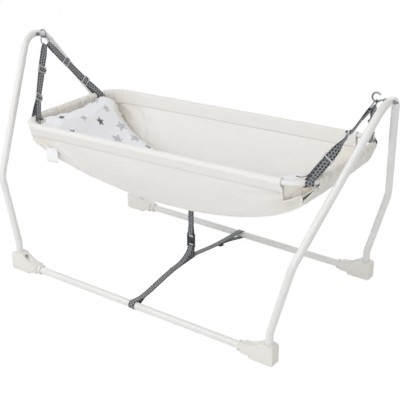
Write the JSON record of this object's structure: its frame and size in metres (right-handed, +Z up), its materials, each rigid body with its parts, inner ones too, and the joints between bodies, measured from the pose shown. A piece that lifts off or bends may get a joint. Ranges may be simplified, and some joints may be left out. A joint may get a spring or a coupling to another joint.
{
  "type": "hanging baby cradle with tubular stand",
  "caption": "Baby cradle: a fabric hammock with a rigid tube rim hangs by webbing straps from hooks on a leaning tubular stand, steadied by a tether.",
  "frame": {"origin": "on the floor, under the middle of the stand", "axes": "+X along the length towards the foot end, +Y towards the far side, +Z up"},
  "size_m": [1.3154, 0.629, 0.717],
  "materials": {
    "stand_paint": "white baked enamel, satin",
    "rim_paint": "white baked enamel, satin",
    "foot_plastic": "moulded ivory plastic, light texture",
    "button_steel": "plain zinc-plated steel",
    "spring_steel": "bare spring steel",
    "nut_steel": "dark plated steel",
    "hook_chrome": "bright plated steel wire",
    "ring_chrome": "bright plated steel wire",
    "canvas": "ivory cotton canvas, matt",
    "pad_cotton": "printed cotton over wadding, matt",
    "label_cloth": "white satin tape, bare",
    "strap_webbing": "woven grey polyester webbing",
    "tether_webbing": "woven grey polyester webbing",
    "clear_plastic": "milky clear plastic, glossy",
    "black_plastic": "black plastic, satin"
  },
  "bodies": {
    "stand": {"end_frame_left": "stand_paint", "end_frame_right": "stand_paint", "base_tube_near": "stand_paint", "base_tube_far": "stand_paint", "foot_near_left": "foot_plastic", "foot_far_left": "foot_plastic", "foot_near_right": "foot_plastic", "foot_far_right": "foot_plastic", "snap_spring_near_left": "spring_steel", "snap_spring_far_left": "spring_steel", "snap_spring_near_right": "spring_steel", "snap_spring_far_right": "spring_steel", "hook_left": "hook_chrome", "hook_right": "hook_chrome", "hook_nut_left": "nut_steel", "hook_nut_right": "nut_steel", "cap_nut_left": "nut_steel", "cap_nut_right": "nut_steel", "buckle_socket": "black_plastic", "buckle_plug": "black_plastic", "lower_strap": "tether_webbing", "near_arm": "tether_webbing", "far_arm": "tether_webbing", "arm_slider": "black_plastic", "drop_strap": "tether_webbing"},
    "cradle": {"ring_left": "ring_chrome", "ring_right": "ring_chrome", "rim_end_left": "rim_paint", "rim_end_right": "rim_paint", "rim_side_near": "rim_paint", "rim_side_far": "rim_paint", "sleeve_left": "canvas", "sleeve_right": "canvas", "sleeve_near": "canvas", "sleeve_far": "canvas", "side_panel_near": "canvas", "side_panel_far": "canvas", "base_panel": "canvas", "care_label": "label_cloth", "corner_strap_near_left": "strap_webbing", "corner_strap_far_left": "strap_webbing", "corner_strap_near_right": "strap_webbing", "corner_strap_far_right": "strap_webbing", "strap_adjuster_near_left": "clear_plastic", "strap_adjuster_far_left": "clear_plastic", "strap_adjuster_near_right": "clear_plastic", "strap_adjuster_far_right": "clear_plastic", "tri_glide_near_left": "clear_plastic", "tri_glide_far_left": "clear_plastic", "tri_glide_near_right": "clear_plastic", "tri_glide_far_right": "clear_plastic"},
    "pad_body": {"pad": "pad_cotton"},
    "button_near_left": {"lock_button_near_left": "button_steel"},
    "button_far_left": {"lock_button_far_left": "button_steel"},
    "button_near_right": {"lock_button_near_right": "button_steel"},
    "button_far_right": {"lock_button_far_right": "button_steel"},
    "prong_left": {"buckle_prong_left": "black_plastic"},
    "prong_right": {"buckle_prong_right": "black_plastic"}
  },
  "joints": [
    {"name": "cradle_swing", "type": "hinge", "parent": "stand", "child": "cradle", "pos_m": [0, 0, 0.6895], "axis": [1, 0, 0], "range_deg": [-6, 6], "deforming": ["drop_strap"]},
    {"name": "pad_lift", "type": "slide", "parent": "cradle", "child": "pad_body", "axis": [0, 0, 1], "range_m": [0, 0.47]},
    {"name": "button_press_near_left", "type": "slide", "parent": "stand", "child": "button_near_left", "axis": [-1, 0, 0], "range_m": [0, 0.0058], "stiffness_N_per_m": 600, "springref_m": -0.002, "deforming": ["snap_spring_near_left"]},
    {"name": "button_press_far_left", "type": "slide", "parent": "stand", "child": "button_far_left", "axis": [-1, 0, 0], "range_m": [0, 0.0058], "stiffness_N_per_m": 600, "springref_m": -0.002, "deforming": ["snap_spring_far_left"]},
    {"name": "button_press_near_right", "type": "slide", "parent": "stand", "child": "button_near_right", "axis": [1, 0, 0], "range_m": [0, 0.0058], "stiffness_N_per_m": 600, "springref_m": -0.002, "deforming": ["snap_spring_near_right"]},
    {"name": "button_press_far_right", "type": "slide", "parent": "stand", "child": "button_far_right", "axis": [1, 0, 0], "range_m": [0, 0.0058], "stiffness_N_per_m": 600, "springref_m": -0.002, "deforming": ["snap_spring_far_right"]},
    {"name": "prong_squeeze_left", "type": "slide", "parent": "stand", "child": "prong_left", "axis": [1, 0, 0], "range_m": [0, 0.0024], "stiffness_N_per_m": 900, "springref_m": -0.001},
    {"name": "prong_squeeze_right", "type": "slide", "parent": "stand", "child": "prong_right", "axis": [-1, 0, 0], "range_m": [0, 0.0024], "stiffness_N_per_m": 900, "springref_m": -0.001}
  ]
}
